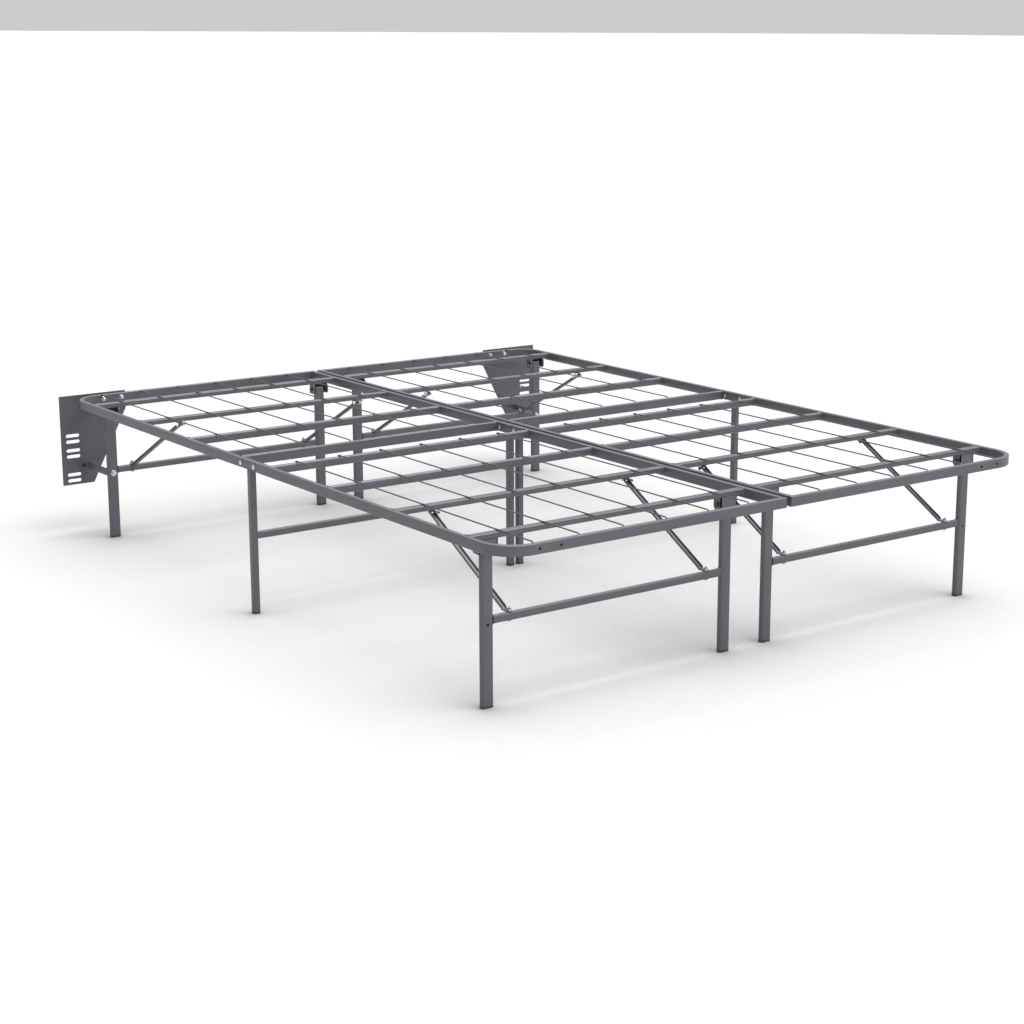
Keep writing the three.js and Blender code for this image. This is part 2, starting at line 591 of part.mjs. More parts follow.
for (const [half, side] of [["left", -1], ["right", 1]]) {
  add(half + "_head_outer_rail", headOuterRail, side, 1);
  add(half + "_head_inner_rail", headInnerRail, side, 1);
  add(half + "_head_fold_rail", foldRail, side, 1);
  add(half + "_foot_outer_rail", footOuterRail, side, 1);
  add(half + "_foot_inner_rail", footInnerRail, side, 1);
  add(half + "_foot_fold_slat", ovalSlat(FOOT.crossRail, SLAT_TOP), side, -1);
  add(half + "_outer_hinge_link", outerLink, side, 1);
  add(half + "_inner_hinge_link", innerLink, side, 1);

  for (const section of [HEAD, FOOT]) {
    const atHead = section === HEAD;
    const wireStart = atHead ? headWireStart : footWireStart;
    const wires = wireDeck(section.wireSlat, wireStart, wireEnd, atHead);
    const prefix = half + "_" + section.name;
    add(prefix + "_leg_slat", legSlat(section.legs), side, section.towards);
    add(prefix + "_brace_slat", braceSlat(section.braceSlat), side, section.towards);
    add(prefix + "_wire_deck", wires, side, section.towards);
    add(prefix + "_leg_frame", endLegFrame(section.legs), side, section.towards);
    add(prefix + "_inner_brace", brace(BRACE_X[0], section), side, section.towards);
    add(prefix + "_outer_brace", brace(BRACE_X[1], section), side, section.towards);
    for (const [place, x] of [["inner", LEG_X[0]], ["outer", LEG_X[1]]]) {
      const foot = glide(x, section.legs, LEG.wide, LEG.deep, LEG.round);
      add(prefix + "_" + place + "_glide", foot, side, section.towards, plastic);
    }
  }

  add(half + "_middle_leg_frame", middleLegFrame(), side, 1);
  const middleLegs = [
    ["inner", INNER_EDGE + MIDDLE_LEG.wide / 2],
    ["outer", HALF_WIDTH - MIDDLE_LEG.wide / 2],
  ];
  for (const [place, x] of middleLegs) {
    const foot = glide(x, MIDDLE_LEG_Y, MIDDLE_LEG.wide, MIDDLE_LEG.deep, MIDDLE_LEG.round);
    add(half + "_middle_" + place + "_glide", foot, side, 1, plastic);
  }
  add(half + "_headboard_bracket", boardPlate(), side, 1);
  add(half + "_headboard_strut", boardStrut(), side, 1);
}

export default bed;
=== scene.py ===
"""Folding steel platform bed frame: the looks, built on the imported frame.

The code is in millimetres and the scene in metres.

Shapes are drawn in the quadrant x > 0, y > 0 of the bed, about the centre of its deck, and mirrored into
their half (side -1 or 1) and section (towards 1 for the head, -1 for the foot).
"""

import math

import bmesh
import bpy
from mathutils import Matrix, Vector, noise

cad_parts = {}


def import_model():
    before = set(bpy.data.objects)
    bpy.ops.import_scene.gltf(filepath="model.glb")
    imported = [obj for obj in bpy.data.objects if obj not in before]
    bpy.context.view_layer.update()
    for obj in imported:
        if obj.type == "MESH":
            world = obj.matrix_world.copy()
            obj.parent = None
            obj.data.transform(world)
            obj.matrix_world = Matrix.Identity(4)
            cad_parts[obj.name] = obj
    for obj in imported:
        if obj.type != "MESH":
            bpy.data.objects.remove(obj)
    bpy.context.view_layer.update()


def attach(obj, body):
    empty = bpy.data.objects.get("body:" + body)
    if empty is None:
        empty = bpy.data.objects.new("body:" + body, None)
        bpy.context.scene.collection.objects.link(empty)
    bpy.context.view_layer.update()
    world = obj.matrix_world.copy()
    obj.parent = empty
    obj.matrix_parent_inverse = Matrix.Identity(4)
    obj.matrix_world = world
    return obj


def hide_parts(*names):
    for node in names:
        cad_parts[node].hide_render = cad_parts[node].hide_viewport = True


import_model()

MM = 0.001
BED_WIDTH = 1524
BED_LENGTH = 2032
PLATE_OVERHANG = 3.3  # the headboard plates stand this far behind the head rail
DECK_Y = -PLATE_OVERHANG / 2  # Y of the deck's centre in the frame
RAIL_TOP = 371.5
HALF_GAP = 13  # between the left and the right half
FIT_GAP = 0.3  # left between pieces that touch in the real bed
RAIL = (12.5, 23, 2.2)  # wide, high, edge radius
FLAT_SLAT = (20, 12.5, 2.5)
OVAL_SLAT = (13, 21, 6.4)
LEG = (29, 15, 6)
MIDDLE_LEG = (16, 17, 2.5)
CROSSBAR = (12, 17, 3)
CORNER_RADIUS = 80
WIRE_RADIUS = 1.6
WIRE_X = [105 + 114.2 * i for i in range(6)]
SLAT_TOP = 370
WIRE_HEIGHT = 371.9
WELDED_SLAT_TOP = WIRE_HEIGHT - 1.0
HEAD_PIVOT = 46
FOOT_PIVOT = -17
PIVOT_HEIGHT = RAIL_TOP - RAIL[1] / 2
KNUCKLE = RAIL[1] / 2
KNUCKLE_GAP = 0.4
PLATE = 2.5  # thickness of hinge plates and leg brackets
HINGE_PLATE_RADIUS = 11
HINGE_SEAT_HALF = 10
LINK_PLATE_END = FOOT_PIVOT + 12
FOOT_PLATE_END = FOOT_PIVOT - 40
SEAT_CLEARANCE = 12.5  # from a pivot to the spacer behind its plate
MIDDLE_LEG_Y = 9
LEG_X = (63, 706)
LEG_PIVOT = 342
LEG_FOOT = 5.3  # where a leg ends, on its glide
BRACKET_HALF = 23
BRACKET_BACK = 11
BRACKET_LOW = 329
LEG_CROSSBAR = 186
MIDDLE_CROSSBAR = 190
BRACE_X = (117, 648)
BRACE_SLAT = 603
BRACE_PIVOT = (590, 352)
BRACE_FOOT_Z = LEG_CROSSBAR + CROSSBAR[1] / 2 + FIT_GAP
SECTIONS = {
    "head": {"towards": 1, "legs": 888, "wire_slat": 335, "cross": 64.5},
    "foot": {"towards": -1, "legs": 879, "wire_slat": 332, "cross": 68},
}
END_RAIL_HOLES = (617, 670)
STRUT_HOLE = 178
STRUT_X = 718
STRUT_HEIGHT = 181
STRUT_REACH = 24
STRUT = (3, 20, 0.7)
BOARD_THICK = 3.0
BOARD_OUTLINE = [(600, 375.5), (600, 326), (702, 129), (792, 129), (792, 375.5)]
BOARD_SLOT_X = (739, 778)
BOARD_SLOT_RADIUS = 4.5
BOARD_SLOT_HEIGHTS = (265, 248.5, 224, 207.5, 157, 140.5)

HALF_W = BED_WIDTH / 2
HALF_L = BED_LENGTH / 2
INNER_EDGE = HALF_GAP / 2
IN_OUTER = HALF_W - RAIL[0]
IN_INNER = INNER_EDGE + RAIL[0]
IN_END = HALF_L - RAIL[0]

X, Y, Z = Vector((1, 0, 0)), Vector((0, 1, 0)), Vector((0, 0, 1))


# ---- materials ----
class Nodes:
    """A material's node tree, with short calls to add to it."""

    def __init__(self, name):
        self.material = bpy.data.materials.new(name)
        self.material.use_nodes = True
        self.tree = self.material.node_tree
        self.shader = self.tree.nodes["Principled BSDF"]
        self.place = self.tree.nodes.new("ShaderNodeTexCoord").outputs["Object"]

    def link(self, source, target):
        self.tree.links.new(source, target)

    def noise(self, scale, detail=3.0, roughness=0.55, stretch=None):
        node = self.tree.nodes.new("ShaderNodeTexNoise")
        node.inputs["Scale"].default_value = scale
        node.inputs["Detail"].default_value = detail
        node.inputs["Roughness"].default_value = roughness
        place = self.place
        if stretch:
            mapping = self.tree.nodes.new("ShaderNodeMapping")
            mapping.inputs["Scale"].default_value = stretch
            self.link(place, mapping.inputs["Vector"])
            place = mapping.outputs["Vector"]
        self.link(place, node.inputs["Vector"])
        return node.outputs["Fac"]

    def ramp(self, value, stops):
        node = self.tree.nodes.new("ShaderNodeValToRGB")
        ramp = node.color_ramp
        while len(ramp.elements) < len(stops):
            ramp.elements.new(0.5)
        for element, (position, color) in zip(ramp.elements, stops):
            element.position = position
            element.color = (*color, 1)
        self.link(value, node.inputs["Fac"])
        return node.outputs["Color"]

    def between(self, value, low, high, start=0.3, end=0.7):
        node = self.tree.nodes.new("ShaderNodeMapRange")
        node.inputs["From Min"].default_value = start
        node.inputs["From Max"].default_value = end
        node.inputs["To Min"].default_value = low
        node.inputs["To Max"].default_value = high
        self.link(value, node.inputs["Value"])
        return node.outputs["Result"]

    def mixed(self, share, first, second, blend="MIX"):
        node = self.tree.nodes.new("ShaderNodeMix")
        node.data_type = "RGBA"
        node.blend_type = blend
        sockets = (node.inputs[0], node.inputs[6], node.inputs[7])
        for socket, value in zip(sockets, (share, first, second)):
            if isinstance(value, bpy.types.NodeSocket):
                self.link(value, socket)
            else:
                socket.default_value = value
        return node.outputs[2]

    def bumps(self, layers):
        """Bump layers, each (height output, strength, depth in metres), one on the other."""
        normal = None
        for height, strength, depth in layers:
            node = self.tree.nodes.new("ShaderNodeBump")
            node.inputs["Strength"].default_value = strength
            node.inputs["Distance"].default_value = depth
            self.link(height, node.inputs["Height"])
            if normal:
                self.link(normal, node.inputs["Normal"])
            normal = node.outputs["Normal"]
        self.link(normal, self.shader.inputs["Normal"])


def grey(value, blue=0.0):
    """A grey of the given green value; blue=1 is the frame's cool slate tint, 0 is neutral."""
    return (value * (1 - 0.04 * blue), value, value * (1 + 0.15 * blue))


def painted(name, tone, blue, rough, metallic=0.25, lumps=0.0):
    """Powder coat over steel: a fine orange peel, slight tone changes, specks, and scuffed patches."""
    n = Nodes(name)
    broad = n.noise(7, 4)
    patches = n.noise(55, 6, 0.65)
    specks = n.noise(2600, 2)
    peel = n.noise(1500, 2, 0.5)
    color = n.ramp(broad, [(0.3, grey(tone * 0.93, blue)), (0.7, grey(tone * 1.07, blue * 0.9))])
    scuffed = n.between(patches, 0.0, 0.5, 0.56, 0.74)
    color = n.mixed(scuffed, color, (*grey(tone * 1.16, blue * 0.8), 1))
    color = n.mixed(n.between(specks, 0.0, 0.35, 0.5, 0.75), color, (*grey(tone * 1.3, blue), 1))
    n.link(color, n.shader.inputs["Base Color"])
    n.link(n.between(patches, rough - 0.05, rough + 0.09), n.shader.inputs["Roughness"])
    n.shader.inputs["Metallic"].default_value = metallic
    n.shader.inputs["Specular IOR Level"].default_value = 0.5
    layers = [(peel, 0.22, 0.0003)]
    if lumps:
        layers.insert(0, (n.noise(420, 3), lumps, 0.0008))
    n.bumps(layers)
    return n.material


def plated(name, tone, rough):
    """Zinc plate: bright, lightly streaked, duller in patches."""
    n = Nodes(name)
    patches = n.noise(160, 4)
    streaks = n.noise(900, 3, 0.6, stretch=(0.25, 1, 1))
    color = n.ramp(patches, [(0.3, (tone * 0.92, tone * 0.93, tone * 0.93)),
                             (0.7, (tone, tone, tone * 1.03))])
    n.link(n.mixed(n.between(streaks, 0.0, 0.3), color, (tone * 0.7, tone * 0.7, tone * 0.7, 1)),
           n.shader.inputs["Base Color"])
    n.link(n.between(streaks, rough - 0.06, rough + 0.12), n.shader.inputs["Roughness"])
    n.shader.inputs["Metallic"].default_value = 1.0
    n.bumps([(streaks, 0.12, 0.0002)])
    return n.material


def moulded(name, tone, rough):
    """Black moulded plastic or black-oxide steel: a fine grain and a few paler rubbed spots."""
    n = Nodes(name)
    grain = n.noise(1900, 3, 0.6)
    rubbed = n.noise(90, 5, 0.7)
    color = n.ramp(rubbed, [(0.35, grey(tone * 0.85)), (0.72, grey(tone * 1.7))])
    n.link(color, n.shader.inputs["Base Color"])
    n.link(n.between(rubbed, rough - 0.08, rough + 0.1), n.shader.inputs["Roughness"])
    n.bumps([(grain, 0.3, 0.0003)])
    return n.material


PAINT = painted("painted_steel", 0.112, 1.0, 0.40)
WIRE_PAINT = painted("painted_wire", 0.085, 0.5, 0.45)
# weld beads: darker paint, partly for weld soot and partly as painted shade at the wire crossings
WELD_SOOT_AND_SHADE = painted("weld_soot_and_painted_shade", 0.045, 0.5, 0.5, lumps=0.6)
ZINC = plated("zinc_plate", 0.72, 0.26)
DULL_ZINC = plated("dull_zinc", 0.45, 0.36)
DARK_STEEL = moulded("black_oxide", 0.02, 0.45)
PLASTIC = moulded("black_plastic", 0.045, 0.55)


# ---- mesh making ----
def rounded(width, height, radius, steps):
    """A rounded rectangle's points, anticlockwise."""
    radius = max(0.02, min(radius, width / 2 - 0.01, height / 2 - 0.01))
    points = []
    for quarter, (cx, cy) in enumerate(((1, 1), (-1, 1), (-1, -1), (1, -1))):
        for i in range(steps + 1):
            a = (quarter + i / steps) * math.pi / 2
            points.append((cx * (width / 2 - radius) + radius * math.cos(a),
                           cy * (height / 2 - radius) + radius * math.sin(a)))
    return points


def arc(x, y, radius, start, end, steps):
    return [(x + radius * math.cos(start + (end - start) * i / steps),
             y + radius * math.sin(start + (end - start) * i / steps)) for i in range(steps + 1)]


class Shape:
    """Vertices and faces of one piece, in millimetres."""

    def __init__(self):
        self.bm = bmesh.new()

    def rings(self, rings, closed=True):
        """A skin over rings of points, with a face on each end."""
        bm = self.bm
        made = [[bm.verts.new(p) for p in ring] for ring in rings]
        for low, high in zip(made, made[1:]):
            for i in range(len(low)):
                j = (i + 1) % len(low)
                bm.faces.new((low[i], low[j], high[j], high[i]))
        if closed:
            bm.faces.new(list(reversed(made[0])))
            bm.faces.new(made[-1])

    def loft(self, stations, steps=4, order=1):
        """stations: (centre, across, up, width, height, radius). order -1 runs each ring the other way."""
        self.rings([[c + a * across + b * up for a, b in rounded(w, h, r, steps)][::order]
                    for c, across, up, w, h, r in stations])

    def tube(self, start, end, across, up, size, cut=0.5, steps=4, flare=(0, 0)):
        """A straight tube with slightly broken end edges. flare: bead of weld round each end."""
        along = (end - start).normalized()
        w, h, r = size
        stations = []
        for base, sign, bead in ((start, 1, flare[0]), (end, -1, flare[1])):
            if bead:
                ends = [(0, bead), (0.35, bead * 0.9), (0.8, bead * 0.45), (1.15, 0)]
                some = [(base + along * sign * bead * 1.3 * t, across, up, w + 2 * g, h + 2 * g, r + g)
                        for t, g in ends]
            else:
                some = [(base + along * sign * t, across, up, w - 2 * g, h - 2 * g, r - g)
                        for t, g in ((0, cut), (cut, 0))]
            stations += some if sign > 0 else some[::-1]
        self.loft(stations, steps)

    def prism(self, outline, origin, a, b, depth, bevel=0.5, segments=2):
        """An outline in the plane of a and b, thickened by depth along a x b, with bevelled rims."""
        c = a.cross(b).normalized()
        part = bmesh.new()
        low = [part.verts.new(origin + p * a + q * b) for p, q in outline]
        high = [part.verts.new(origin + p * a + q * b + depth * c) for p, q in outline]
        part.faces.new(list(reversed(low)))
        part.faces.new(high)
        for i in range(len(low)):
            j = (i + 1) % len(low)
            part.faces.new((low[i], low[j], high[j], high[i]))
        if bevel:
            rims = [e for e in part.edges if len(e.link_faces) == 2 and e.calc_face_angle(0) > 1.2]
            bmesh.ops.bevel(part, geom=rims, offset=bevel, segments=segments, profile=0.5,
                            affect="EDGES", clamp_overlap=True)
        self.add(part)

    def turned(self, profile, matrix, sides=32):
        """A profile of (radius, height) turned about the matrix's Z."""
        rings = []
        for r, h in profile:
            rings.append([matrix @ Vector((r * math.cos(2 * math.pi * i / sides),
                                           r * math.sin(2 * math.pi * i / sides), h))
                          for i in range(sides)])
        self.rings(rings)

    def add(self, part, matrix=None):
        mesh = bpy.data.meshes.new("part")
        if matrix:
            bmesh.ops.transform(part, matrix=matrix, verts=part.verts)
        part.to_mesh(mesh)
        part.free()
        self.bm.from_mesh(mesh)
        bpy.data.meshes.remove(mesh)

    def drill(self, rods):
        """Cuts round holes through the shape. rods: (start, end, radius)."""
        cutter = Shape()
        for start, end, radius in rods:
            cutter.turned([(radius, 0), (radius, (end - start).length)], along(start, end - start), 24)
        made = []
        for part in (self.bm, cutter.bm):
            mesh = bpy.data.meshes.new("drilled")
            part.to_mesh(mesh)
            part.free()
            made.append(bpy.data.objects.new("drilled", mesh))
            bpy.context.scene.collection.objects.link(made[-1])
        body, tool = made
        holes = body.modifiers.new("holes", "BOOLEAN")
        holes.operation = "DIFFERENCE"
        holes.solver = "EXACT"
        holes.object = tool
        bpy.context.view_layer.update()
        graph = bpy.context.evaluated_depsgraph_get()
        result = bpy.data.meshes.new_from_object(body.evaluated_get(graph))
        self.bm = bmesh.new()
        self.bm.from_mesh(result)
        for mesh in (body.data, tool.data, result):
            bpy.data.meshes.remove(mesh)

    def piece(self, name, body, material, slot, side=1, towards=1, stands_for=(), smooth=32):
        """The finished object, mirrored into its half and section, riding on its body."""
        bm = self.bm
        for v in bm.verts:
            v.co = Vector((v.co.x * side, v.co.y * towards + DECK_Y, v.co.z)) * MM
        if side * towards < 0:
            bmesh.ops.reverse_faces(bm, faces=bm.faces)
        mesh = bpy.data.meshes.new(name)
        bm.to_mesh(mesh)
        bm.free()
        mesh.polygons.foreach_set("use_smooth", [True] * len(mesh.polygons))
        mesh.set_sharp_from_angle(angle=math.radians(smooth))
        mesh.materials.append(material)
        made = bpy.data.objects.new(name, mesh)
        bpy.context.scene.collection.objects.link(made)
        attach(made, body)
        if stands_for:
            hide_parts(*stands_for)
        return made


def along(point, direction, spin=0.0):
    """A matrix whose Z runs along direction from point."""
    turn = direction.to_track_quat("Z", "Y").to_matrix().to_4x4()
    return Matrix.Translation(point) @ turn @ Matrix.Rotation(spin, 4, "Z")


# ---- fasteners ----
def rivet(shape, point, direction, radius=6.0, height=2.4):
    steps = 8
    dome = [(radius * math.cos(a), 0.5 + (height - 0.5) * math.sin(a))
            for a in (i * math.pi / 2 / steps for i in range(steps))]
    profile = [(radius - 0.3, -0.3), (radius, 0.1), *dome[1:], (0.15, height)]
    shape.turned(profile, along(point, direction))


def washer(shape, matrix, radius, hole, thick=1.2):
    shape.turned([(hole, 0), (radius - 0.3, 0), (radius, 0.3), (radius, thick - 0.3),
                  (radius - 0.3, thick), (hole, thick)], matrix)


def hexagon(shape, matrix, flats, start, height):
    """A hex head or nut with rounded-off corners, from start to start + height along the matrix's Z."""
    points = 48
    corner = flats / math.sqrt(3)
    levels = [(0.0, 0.93), (0.12, 1.0), (0.82, 1.0), (1.0, 0.88)]
    rings = []
    for share, keep in levels:
        ring = []
        for i in range(points):
            a = 2 * math.pi * i / points
            sixth = (a % (math.pi / 3)) - math.pi / 6
            flat = flats / 2 / math.cos(sixth)
            ring.append(min(flat, corner * keep))
        rings.append([matrix @ Vector((r * math.cos(2 * math.pi * i / points),
                                       r * math.sin(2 * math.pi * i / points),
                                       start + share * height))
                      for i, r in enumerate(ring)])
    shape.rings(rings)


def thread(shape, matrix, radius, start, end, pitch=0.9):
    profile = [(radius * 0.5, start), (radius * 0.85, start)]
    level = start
    while level + pitch < end:
        profile += [(radius, level + pitch * 0.35), (radius, level + pitch * 0.5)]
        profile.append((radius * 0.86, level + pitch))
        level += pitch
    profile += [(radius * 0.75, end), (0.1, end)]
    shape.turned(profile, matrix, 20)


def wing_nut(shape, matrix):
    """A hub with two upswept rounded wings, its base at the matrix's origin."""
    hub = [(4.4, 0), (4.8, 0.4), (4.6, 3.0), (3.6, 6.6), (3.0, 7.0), (2.5, 7.0), (2.5, 6.0)]
    shape.turned(hub, matrix, 28)
    for side in (-1, 1):
        outline = [(3.2, 0.8), (5.4, 1.0)] + arc(9.2, 7.2, 3.9, -0.9, 2.5, 9) + [(3.0, 5.6)]
        part = Shape()
        part.prism([(side * p, q) for p, q in (outline if side > 0 else outline[::-1])],
                   Vector((0, 0.9, 0)), X, Z, 1.8, bevel=0.55, segments=3)
        shape.add(part.bm, matrix)


# ---- deck ----
def bent_rail(shape, straight_from):
    """The outer rail from straight_from along the side, round the corner and across the end."""
    mid_x = HALF_W - RAIL[0] / 2
    mid_y = HALF_L - RAIL[0] / 2
    radius = CORNER_RADIUS - RAIL[0] / 2
    stations = straight_from
    for i in range(33):
        a = math.pi / 2 * i / 32
        centre = Vector((mid_x - radius + radius * math.cos(a),
                         mid_y - radius + radius * math.sin(a), PIVOT_HEIGHT))
        stations.append((centre, Vector((math.cos(a), math.sin(a), 0)), Z, *RAIL))
    for t, cut in ((0.7, 0), (0, 0.7)):
        stations.append((Vector((INNER_EDGE + t, mid_y, PIVOT_HEIGHT)), Y, Z,
                         RAIL[0] - 2 * cut, RAIL[1] - 2 * cut, RAIL[2] - cut))
    shape.loft(stations, 5, -1)


def knuckle_stations(x, pivot, away, size=RAIL):
    """Stations of a bar's round end, from its tip to the pivot. away: the bar's direction."""
    stations = []
    for i in range(13):
        a = math.radians(86 - 86 * i / 12)
        half = KNUCKLE * math.cos(a)
        stations.append((Vector((x, pivot - away * KNUCKLE * math.sin(a), PIVOT_HEIGHT)), X, Z,
                         size[0], 2 * half, size[2]))
    return stations


def socket_stations(x, pivot, size=RAIL):
    """Stations of a bar's end before the pivot, hollowed above to clear the neighbour's round end."""
    reach = KNUCKLE + KNUCKLE_GAP
    rise = math.asin(KNUCKLE / reach)
    stations = [(Vector((x, pivot - reach, PIVOT_HEIGHT)), X, Z, *size)]
    for i in range(10):
        a = math.pi - rise * i / 9 * 0.97
        y = pivot + reach * math.cos(a)
        low = reach * math.sin(a)
        high = KNUCKLE - low
        stations.append((Vector((x, y, PIVOT_HEIGHT + low + high / 2)), X, Z, size[0], high, size[2]))
    return stations


def hinge_plate(shape, near, far, pivot, end):
    """A plate on a rail's inner side with a round end about the pivot."""
    half = HINGE_PLATE_RADIUS
    flip = 1 if end < pivot else -1
    outline = [(pivot + flip * half * math.cos(a), PIVOT_HEIGHT + half * math.sin(a))
               for a in (-math.pi / 2 + math.pi * i / 16 for i in range(17))]
    outline += [(end, PIVOT_HEIGHT + half), (end, PIVOT_HEIGHT - half)]
    if flip < 0:
        outline = outline[::-1]
    shape.prism(outline, Vector((min(near, far), 0, 0)), Y, Z, abs(far - near), bevel=0.5)


def seat(shape, near, far, start, end):
    """A spacer between a hinge plate and its rail."""
    low = PIVOT_HEIGHT - HINGE_SEAT_HALF
    high = PIVOT_HEIGHT + HINGE_SEAT_HALF
    outline = [(start, low), (end, low), (end, high), (start, high)]
    shape.prism(outline, Vector((min(near, far), 0, 0)), Y, Z, abs(far - near), bevel=0.3)


def slat(shape, y, top, size, bead=1.9):
    z = top - size[1] / 2
    shape.tube(Vector((IN_INNER + 0.05, y, z)), Vector((IN_OUTER - 0.05, y, z)), Y, Z, size,
               steps=6, flare=(bead, bead))


def wire_run(shape, x, stations, sides=12):
    """One wire through (y, z) stations, its ends rounded over."""
    points = [Vector((x, y, z)) for y, z in stations]
    rings = []
    for i, p in enumerate(points):
        before = points[max(i - 1, 0)]
        after = points[min(i + 1, len(points) - 1)]
        direction = (after - before).normalized()
        up = direction.cross(X) * -1
        rings.append((p, direction, up))
    first, last = rings[0], rings[-1]
    out = []
    for t, r in ((0.0, 0.5), (0.35, 0.85), (0.8, 1.0)):
        out.append((first[0] + first[1] * t, first[2], r))
    out += [(p, up, 1.0) for p, _, up in rings[1:-1]]
    for t, r in ((0.8, 1.0), (0.35, 0.85), (0.0, 0.5)):
        out.append((last[0] - last[1] * t, last[2], r))
    turns = [(math.cos(2 * math.pi * k / sides), math.sin(2 * math.pi * k / sides)) for k in range(sides)]
    shape.rings([[p + WIRE_RADIUS * r * (c * X + q * up) for c, q in turns] for p, up, r in out])


def weld_spot(shape, centre, size, seed):
    """A small uneven bead of weld metal."""
    part = bmesh.new()
    bmesh.ops.create_icosphere(part, subdivisions=2, radius=1)
    for v in part.verts:
        bump = 1 + 0.22 * noise.noise(v.co * 1.7 + Vector((seed * 3.1, seed * 1.3, 0)))
        v.co = Vector((v.co.x * size[0], v.co.y * size[1], v.co.z * size[2])) * bump + centre
    shape.add(part)


# ---- legs ----
def leg_bracket(shape, x, y):
    """The channel welded under a slat that a leg's top turns in."""
    under = SLAT_TOP - FLAT_SLAT[1]
    ear = [(y - 9, BRACKET_LOW), (y + BRACKET_BACK, BRACKET_LOW), (y + BRACKET_BACK, under),
           (y + 7.5, under + 1), (y - 7.5, under + 1), (y - 14, under - 5), (y - 14, BRACKET_LOW + 5)]
    for from_x in (x - BRACKET_HALF, x + BRACKET_HALF - PLATE):
        shape.prism(ear, Vector((from_x, 0, 0)), Y, Z, PLATE, bevel=0.45)
    back = [(x - BRACKET_HALF, BRACKET_LOW), (x + BRACKET_HALF, BRACKET_LOW),
            (x + BRACKET_HALF, under + 0.5), (x - BRACKET_HALF, under + 0.5)]
    shape.prism(back, Vector((0, y + BRACKET_BACK, 0)), X, Z, PLATE, bevel=0.45)
    top = [(x - 22.8, y - 6), (x + 22.8, y - 6), (x + 22.8, y + 10.8), (x - 22.8, y + 10.8)]
    shape.prism(top, Vector((0, 0, under - 1.4)), X, Y, 1.7, bevel=0.3)


def end_leg(shape, x, y):
    """One leg, its top round about the pivot."""
    w, d, r = LEG
    stations = [(Vector((x, y, LEG_FOOT)), X, Y, w, d, r)]
    for i in range(13):
        a = math.radians(84 * i / 12)
        stations.append((Vector((x, y, LEG_PIVOT + d / 2 * math.sin(a))), X, Y,
                         w - 0.6 * i / 12, d * math.cos(a), r))
    shape.loft(stations, 7)


def glide(shape, x, y, size):
    w, d, r = size
    levels = [(0, 2.2), (0.5, 1.2), (1.0, 1.0), (1.1, 0.1), (1.6, 0), (4.6, 0), (5.0, 0.4), (5.2, 0.8)]
    shape.loft([(Vector((x, y, z)), X, Y, w - 2 * cut, d - 2 * cut, r - cut) for z, cut in levels], 7)


def brace(shape, x, legs):
    """A channel from the slat's lug to the crossbar, with a flattened foot."""
    top_y, top_z = BRACE_PIVOT
    foot_y = legs - 15
    start = Vector((0, top_y, top_z))
    end = Vector((0, foot_y, BRACE_FOOT_Z + 3))
    down = (end - start).normalized()
    across = X.copy()
    up = across.cross(down)
    length = (end - start).length
    web = [(-6, -3), (6, -3), (6, -1.5), (-6, -1.5)]
    shape.rings([[Vector((x, 0, 0)) + start + down * t + p * across + q * up for p, q in web][::-1]
                 for t in (8, length)])
    for side in (-1, 1):
        outline = arc(0, 0, 5, math.pi / 2, 1.5 * math.pi, 10)
        outline = [(p, max(-3, min(3, q))) for p, q in outline]
        outline += [(length - 4, -3), (length - 1, 0.4), (length - 6, 3)]
        inner = side * 6 - (1.5 if side > 0 else 0)
        shape.prism(outline, Vector((x + inner, 0, 0)) + start, down, up, 1.5, bevel=0.3)
    tab = arc(x, legs + 0.2, 6, 0, math.pi, 12) + [(x - 6, foot_y - 4), (x + 6, foot_y - 4)]
    shape.prism(tab, Vector((0, 0, BRACE_FOOT_Z)), X, Y, PLATE, bevel=0.35)


def brace_lug(shape, x):
    pivot_y, pivot_z = BRACE_PIVOT
    under = SLAT_TOP - FLAT_SLAT[1]
    lug = arc(pivot_y, pivot_z, 4.6, math.pi, 1.75 * math.pi, 8)
    lug += [(BRACE_SLAT + 6, under + 1), (BRACE_SLAT - 9, under + 4), (pivot_y - 4.6, under + 1)]
    shape.prism(lug, Vector((x - 2, 0, 0)), Y, Z, 4, bevel=0.4)


# ---- headboard brackets ----
def board_plate():
    """The slotted plate, as a filled outline with bevelled rims."""
    bevel = 0.45
    curve = bpy.data.curves.new("plate", "CURVE")
    curve.dimensions = "2D"
    curve.fill_mode = "BOTH"
    curve.extrude = (BOARD_THICK / 2 - bevel) * MM
    curve.bevel_depth = bevel * MM
    curve.bevel_resolution = 1
    curve.offset = -bevel * MM
    loops = [BOARD_OUTLINE]
    near, far = BOARD_SLOT_X
    radius = BOARD_SLOT_RADIUS
    for z in BOARD_SLOT_HEIGHTS:
        loops.append(arc(far - radius, z, radius, -math.pi / 2, math.pi / 2, 10)
                     + arc(near + radius, z, radius, math.pi / 2, 1.5 * math.pi, 10))
    for points in loops:
        spline = curve.splines.new("POLY")
        spline.use_cyclic_u = True
        spline.points.add(len(points) - 1)
        for target, (x, z) in zip(spline.points, points):
            target.co = (x * MM, z * MM, 0, 1)
    holder = bpy.data.objects.new("plate", curve)
    bpy.context.scene.collection.objects.link(holder)
    bpy.context.view_layer.update()
    graph = bpy.context.evaluated_depsgraph_get()
    mesh = bpy.data.meshes.new_from_object(holder.evaluated_get(graph))
    bpy.data.objects.remove(holder)
    bpy.data.curves.remove(curve)
    part = bmesh.new()
    part.from_mesh(mesh)
    bpy.data.meshes.remove(mesh)
    for v in part.verts:
        v.co = Vector((v.co.x / MM, HALF_L + FIT_GAP + BOARD_THICK / 2 - v.co.z / MM, v.co.y / MM))
    bmesh.ops.recalc_face_normals(part, faces=part.faces)
    shape = Shape()
    shape.add(part)
    return shape


